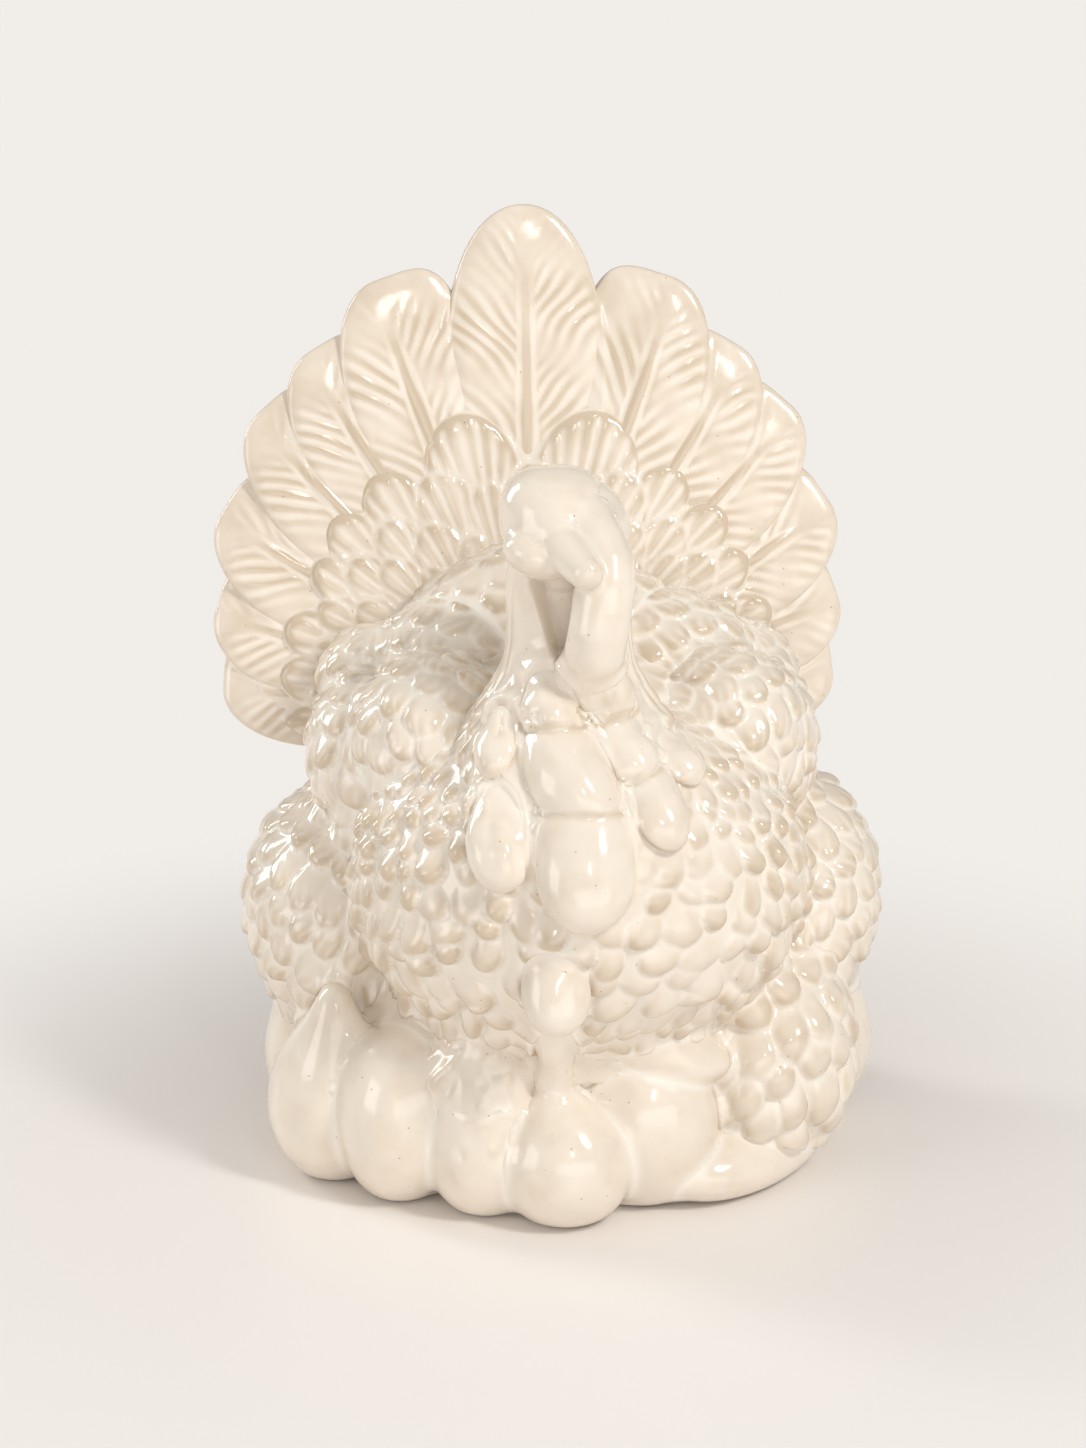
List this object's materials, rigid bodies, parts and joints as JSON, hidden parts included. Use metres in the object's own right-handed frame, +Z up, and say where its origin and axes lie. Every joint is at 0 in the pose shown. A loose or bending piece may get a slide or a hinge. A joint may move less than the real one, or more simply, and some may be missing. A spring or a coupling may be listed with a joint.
{
  "type": "turkey figure",
  "caption": "glossy cream ceramic turkey figure with a raised fan of tail feathers, caruncled neck and full breast, standing on a ring of fruit",
  "frame": {"origin": "on the table under the middle of the whole figure's bounding box", "axes": "+Z up; the bird faces -Y; +X is to the right as seen from in front of the bird"},
  "size_m": [0.1892, 0.168, 0.2588],
  "materials": {
    "glaze": "gloss clear glaze over a cream body, paler where it pools"
  },
  "bodies": {
    "root": {"body_shell": "glaze", "plinth": "glaze", "neck": "glaze", "head": "glaze", "right_cheek": "glaze", "beak": "glaze", "left_cheek": "glaze", "snood": "glaze", "caruncle_4": "glaze", "caruncle_9": "glaze", "caruncle_1": "glaze", "caruncle_10": "glaze", "caruncle_5": "glaze", "caruncle_8": "glaze", "caruncle_3": "glaze", "caruncle_6": "glaze", "caruncle_7": "glaze", "caruncle_2": "glaze", "beard": "glaze", "left_wing": "glaze", "right_wing": "glaze", "left_wing_tip": "glaze", "right_wing_tip": "glaze", "left_back_lobe": "glaze", "right_back_lobe": "glaze", "left_flank": "glaze", "right_flank": "glaze", "left_thigh": "glaze", "right_thigh": "glaze", "rump": "glaze", "tail_coverts": "glaze", "tail_feather_0": "glaze", "left_tail_feather_1": "glaze", "right_tail_feather_1": "glaze", "left_tail_feather_2": "glaze", "right_tail_feather_2": "glaze", "left_tail_feather_3": "glaze", "right_tail_feather_3": "glaze", "left_tail_feather_4": "glaze", "right_tail_feather_4": "glaze", "left_tail_feather_5": "glaze", "right_tail_feather_5": "glaze", "left_tail_feather_6": "glaze", "right_tail_feather_6": "glaze", "front_pear": "glaze", "left_gourd": "glaze", "bumpy_gourd": "glaze", "front_apple": "glaze", "grape_bunch": "glaze", "left_apple": "glaze", "small_apple": "glaze", "right_gourd": "glaze", "rear_right_apple": "glaze", "rear_pumpkin": "glaze", "rear_pear": "glaze", "rear_gourd": "glaze", "rear_left_apple": "glaze", "leaf": "glaze"}
  },
  "joints": []
}
